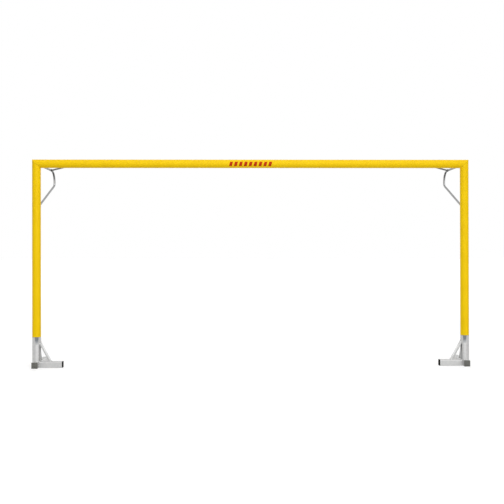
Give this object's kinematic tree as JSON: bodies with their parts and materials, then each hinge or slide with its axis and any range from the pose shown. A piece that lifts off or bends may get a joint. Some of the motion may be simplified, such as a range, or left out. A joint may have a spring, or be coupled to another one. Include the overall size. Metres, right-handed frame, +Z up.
{
  "type": "beach soccer goal frame",
  "caption": "Round-tube beach soccer goal frame on plug-in ground feet, with folding net bows and stays behind the crossbar.",
  "frame": {"origin": "on the ground plane, under the middle of the whole object's box; the goal plane through the post axes is at y = -0.4050", "axes": "+X along the crossbar, +Y behind the goal towards the net bows, +Z up"},
  "size_m": [5.72, 1.018, 2.71],
  "materials": {
    "coated_tube": "satin",
    "bare_aluminium": "satin",
    "zinc_tube": "satin",
    "fasteners": "satin",
    "beam_caps": "matte",
    "net_hooks": "satin"
  },
  "bodies": {
    "frame": {"crossbar": "coated_tube", "crossbar_net_hooks": "net_hooks", "left_post": "coated_tube", "left_corner_connector": "bare_aluminium", "left_corner_screws": "fasteners", "left_top_bracket": "coated_tube", "left_lower_bracket": "coated_tube", "left_stay_bracket": "coated_tube", "left_hinge_bolts": "fasteners", "left_hinge_nuts": "fasteners", "left_lock_boss": "coated_tube", "left_lock_screw": "fasteners", "left_post_net_hooks": "net_hooks", "right_post": "coated_tube", "right_corner_connector": "bare_aluminium", "right_corner_screws": "fasteners", "right_top_bracket": "coated_tube", "right_lower_bracket": "coated_tube", "right_stay_bracket": "coated_tube", "right_hinge_bolts": "fasteners", "right_hinge_nuts": "fasteners", "right_lock_boss": "coated_tube", "right_lock_screw": "fasteners", "right_post_net_hooks": "net_hooks"},
    "left_foot": {"left_ground_post": "bare_aluminium", "left_plug_sleeve": "bare_aluminium", "left_plug_screws": "fasteners", "left_long_beam": "bare_aluminium", "left_side_beam": "bare_aluminium", "left_side_brace": "bare_aluminium", "left_rear_brace": "bare_aluminium", "left_front_cap": "beam_caps", "left_rear_cap": "beam_caps", "left_side_cap": "beam_caps"},
    "left_bow": {"left_net_bow": "zinc_tube"},
    "left_stay": {"left_net_stay": "zinc_tube"},
    "right_foot": {"right_ground_post": "bare_aluminium", "right_plug_sleeve": "bare_aluminium", "right_plug_screws": "fasteners", "right_long_beam": "bare_aluminium", "right_side_beam": "bare_aluminium", "right_side_brace": "bare_aluminium", "right_rear_brace": "bare_aluminium", "right_front_cap": "beam_caps", "right_rear_cap": "beam_caps", "right_side_cap": "beam_caps"},
    "right_bow": {"right_net_bow": "zinc_tube"},
    "right_stay": {"right_net_stay": "zinc_tube"}
  },
  "joints": [
    {"name": "left_foot_plug", "type": "slide", "parent": "frame", "child": "left_foot", "axis": [0, 0, -1], "range_m": [0, 0.25]},
    {"name": "left_bow_fold", "type": "hinge", "parent": "frame", "child": "left_bow", "pos_m": [-2.805, -0.32003, 2.097], "axis": [0, 0, -1], "range_deg": [0, 80]},
    {"name": "left_stay_fold", "type": "hinge", "parent": "frame", "child": "left_stay", "pos_m": [-2.325, -0.32003, 2.655], "axis": [0, 0, -1], "range_deg": [0, 120]},
    {"name": "right_foot_plug", "type": "slide", "parent": "frame", "child": "right_foot", "axis": [0, 0, -1], "range_m": [0, 0.25]},
    {"name": "right_bow_fold", "type": "hinge", "parent": "frame", "child": "right_bow", "pos_m": [2.805, -0.32003, 2.097], "axis": [0, 0, 1], "range_deg": [0, 80]},
    {"name": "right_stay_fold", "type": "hinge", "parent": "frame", "child": "right_stay", "pos_m": [2.325, -0.32003, 2.655], "axis": [0, 0, 1], "range_deg": [0, 120]}
  ],
  "couplings": [
    {"joint": "left_stay_fold", "follows": "left_bow_fold", "ratio": 1.5},
    {"joint": "right_stay_fold", "follows": "right_bow_fold", "ratio": 1.5}
  ]
}
